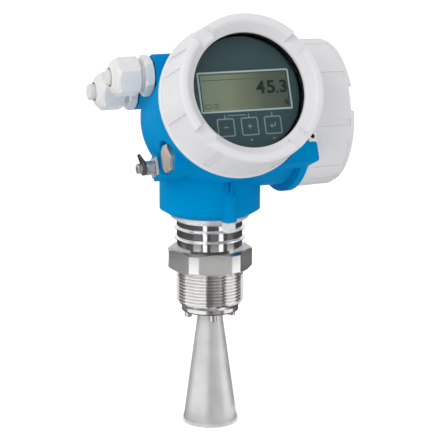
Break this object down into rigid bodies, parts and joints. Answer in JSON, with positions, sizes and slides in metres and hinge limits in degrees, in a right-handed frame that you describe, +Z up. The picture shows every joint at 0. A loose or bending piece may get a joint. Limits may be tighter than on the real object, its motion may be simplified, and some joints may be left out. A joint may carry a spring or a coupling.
{
  "type": "radar level transmitter",
  "caption": "Radar level transmitter with a horn antenna, a threaded steel process connection, and a tilted head with crossed chambers, screw covers, a local display and cable glands.",
  "frame": {"origin": "centre of the hexagon's lower face, where the process thread starts and the part seals", "axes": "+Z up along the neck and horn axis, the display looks along -Y and 21.8 degrees up, the connection chamber opens along +X and the cable glands point along -X"},
  "size_m": [0.1669, 0.1538, 0.2978],
  "materials": {
    "stainless_steel": "turned and satin",
    "fastener_steel": "bright",
    "earth_steel": "dulled",
    "bare_metal": "bare",
    "feed_plastic": "machined",
    "waveguide_metal": "plain",
    "blue_coating": "smooth powder coat",
    "white_coating": "smooth powder coat",
    "window_glass": "clear",
    "seal_rubber": "soft",
    "ring_black": "black",
    "display_slate": "fine matt",
    "display_panel": "liquid crystal",
    "inner_plastic": "moulded",
    "board_green": "solder mask",
    "terminal_plastic": "moulded",
    "gland_plastic": "moulded",
    "gland_insert": "soft",
    "plug_plastic": "moulded"
  },
  "bodies": {
    "sensor": {"process_connection": "stainless_steel", "neck_seal": "seal_rubber", "horn": "stainless_steel", "horn_screws": "fastener_steel", "horn_washers": "fastener_steel", "feed_cone": "feed_plastic", "waveguide": "waveguide_metal", "hf_module": "inner_plastic"},
    "housing": {"housing": "blue_coating", "side_flange": "blue_coating", "electronics_module": "inner_plastic", "main_board": "board_green", "module_screws": "fastener_steel", "terminal_block": "terminal_plastic", "terminal_screws": "fastener_steel", "inner_earth_terminal": "earth_steel", "cover_lock": "fastener_steel", "gland_body_front": "gland_plastic", "gland_body_rear": "gland_plastic", "gland_seal_front": "seal_rubber", "gland_seal_rear": "seal_rubber", "blanking_plug": "bare_metal", "ground_washer": "earth_steel", "ground_clamp": "earth_steel"},
    "display": {"display_bezel": "display_slate", "lcd_panel": "display_panel", "display_case": "inner_plastic"},
    "front_seal": {"front_cover_seal": "seal_rubber"},
    "front_cover": {"front_cover": "white_coating", "window_gasket": "seal_rubber", "front_window": "window_glass", "window_ring": "ring_black"},
    "side_seal": {"side_cover_seal": "seal_rubber"},
    "side_cover": {"side_cover": "white_coating"},
    "housing_lock_screw": {"housing_lock_screw": "fastener_steel"},
    "ground_screw": {"ground_screw": "earth_steel"},
    "cover_lock_screw": {"cover_lock_screw": "fastener_steel"},
    "insert_front": {"gland_insert_front": "gland_insert"},
    "nut_front": {"gland_nut_front": "gland_plastic"},
    "plug_front": {"gland_plug_front": "plug_plastic"},
    "insert_rear": {"gland_insert_rear": "gland_insert"},
    "nut_rear": {"gland_nut_rear": "gland_plastic"},
    "plug_rear": {"gland_plug_rear": "plug_plastic"}
  },
  "joints": [
    {"name": "housing_swivel", "type": "hinge", "parent": "sensor", "child": "housing", "pos_m": [0, 0, 0.05], "axis": [0, 0, 1], "range_deg": [-175, 175]},
    {"name": "display_turn", "type": "hinge", "parent": "housing", "child": "display", "pos_m": [0, 0, 0.1065], "axis": [0, -0.9285, 0.3714], "range_deg": [-180, 180]},
    {"name": "housing_lock_turn", "type": "hinge", "parent": "housing", "child": "housing_lock_screw", "pos_m": [0.00173, -0.03295, 0.0365], "axis": [0, 0, -1], "range_deg": [0, 180]},
    {"name": "ground_screw_turn", "type": "hinge", "parent": "housing", "child": "ground_screw", "pos_m": [-0.046, -0.0194, 0.07818], "axis": [-1, 0, 0], "range_deg": [0, 180]},
    {"name": "cover_lock_turn", "type": "hinge", "parent": "housing", "child": "cover_lock_screw", "pos_m": [0.0517, -0.05396, 0.09814], "axis": [0, -0.9285, 0.3714], "range_deg": [0, 180]},
    {"name": "front_cover_travel", "type": "slide", "parent": "housing", "child": "front_seal", "axis": [0, -0.9285, 0.3714], "range_m": [0, 0.0121]},
    {"name": "front_cover_turn", "type": "hinge", "parent": "front_seal", "child": "front_cover", "pos_m": [0, 0, 0.1065], "axis": [0, -0.9285, 0.3714], "range_deg": [0, 2160]},
    {"name": "side_cover_travel", "type": "slide", "parent": "housing", "child": "side_seal", "axis": [1, 0, 0], "range_m": [0, 0.0121]},
    {"name": "side_cover_turn", "type": "hinge", "parent": "side_seal", "child": "side_cover", "pos_m": [0, 0, 0.1065], "axis": [1, 0, 0], "range_deg": [0, 2160]},
    {"name": "nut_front_travel", "type": "slide", "parent": "housing", "child": "insert_front", "axis": [-1, 0, 0], "range_m": [0, 0.0106]},
    {"name": "nut_front_turn", "type": "hinge", "parent": "insert_front", "child": "nut_front", "pos_m": [-0.06, -0.00813, 0.13937], "axis": [-1, 0, 0], "range_deg": [0, 2520]},
    {"name": "plug_front_pull", "type": "slide", "parent": "insert_front", "child": "plug_front", "axis": [-1, 0, 0], "range_m": [0, 0.016]},
    {"name": "nut_rear_travel", "type": "slide", "parent": "housing", "child": "insert_rear", "axis": [-1, 0, 0], "range_m": [0, 0.0106]},
    {"name": "nut_rear_turn", "type": "hinge", "parent": "insert_rear", "child": "nut_rear", "pos_m": [-0.06, 0.02855, 0.1247], "axis": [-1, 0, 0], "range_deg": [0, 2520]},
    {"name": "plug_rear_pull", "type": "slide", "parent": "insert_rear", "child": "plug_rear", "axis": [-1, 0, 0], "range_m": [0, 0.016]}
  ],
  "couplings": [
    {"joint": "front_cover_travel", "follows": "front_cover_turn", "m_per_rad": 0.00031831},
    {"joint": "side_cover_travel", "follows": "side_cover_turn", "m_per_rad": 0.00031831},
    {"joint": "nut_front_travel", "follows": "nut_front_turn", "m_per_rad": 0.00023873},
    {"joint": "nut_rear_travel", "follows": "nut_rear_turn", "m_per_rad": 0.00023873}
  ]
}
